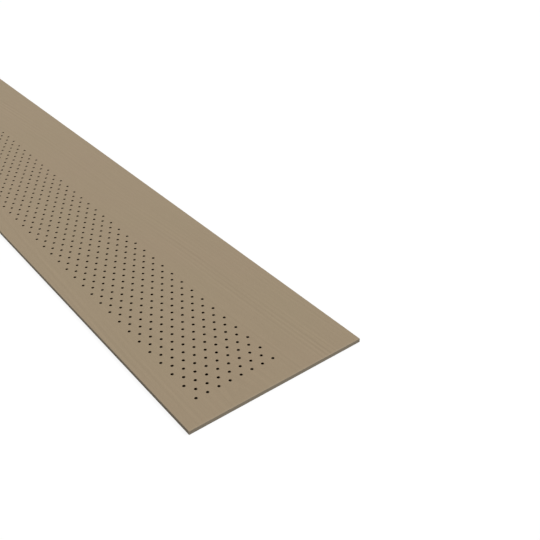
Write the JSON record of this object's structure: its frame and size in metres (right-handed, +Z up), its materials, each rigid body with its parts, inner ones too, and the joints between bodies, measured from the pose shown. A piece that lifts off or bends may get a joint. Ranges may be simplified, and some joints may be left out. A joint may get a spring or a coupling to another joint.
{
  "type": "vented soffit panel",
  "caption": "Flat fibre-cement soffit panel with a painted wood-grain face and a staggered band of round vent holes along one side, to let air into a roof space.",
  "frame": {"origin": "middle of the plain back face, on which the panel lies", "axes": "+X across the width, away from the vent band's edge; +Y along the length; +Z up, out of the finished face"},
  "size_m": [0.3048, 1.8288, 0.0063],
  "materials": {
    "painted_cement": "matt taupe paint on fibre cement, with a shallow wood grain"
  },
  "bodies": {
    "root": {"vented_panel": "painted_cement"}
  },
  "joints": []
}
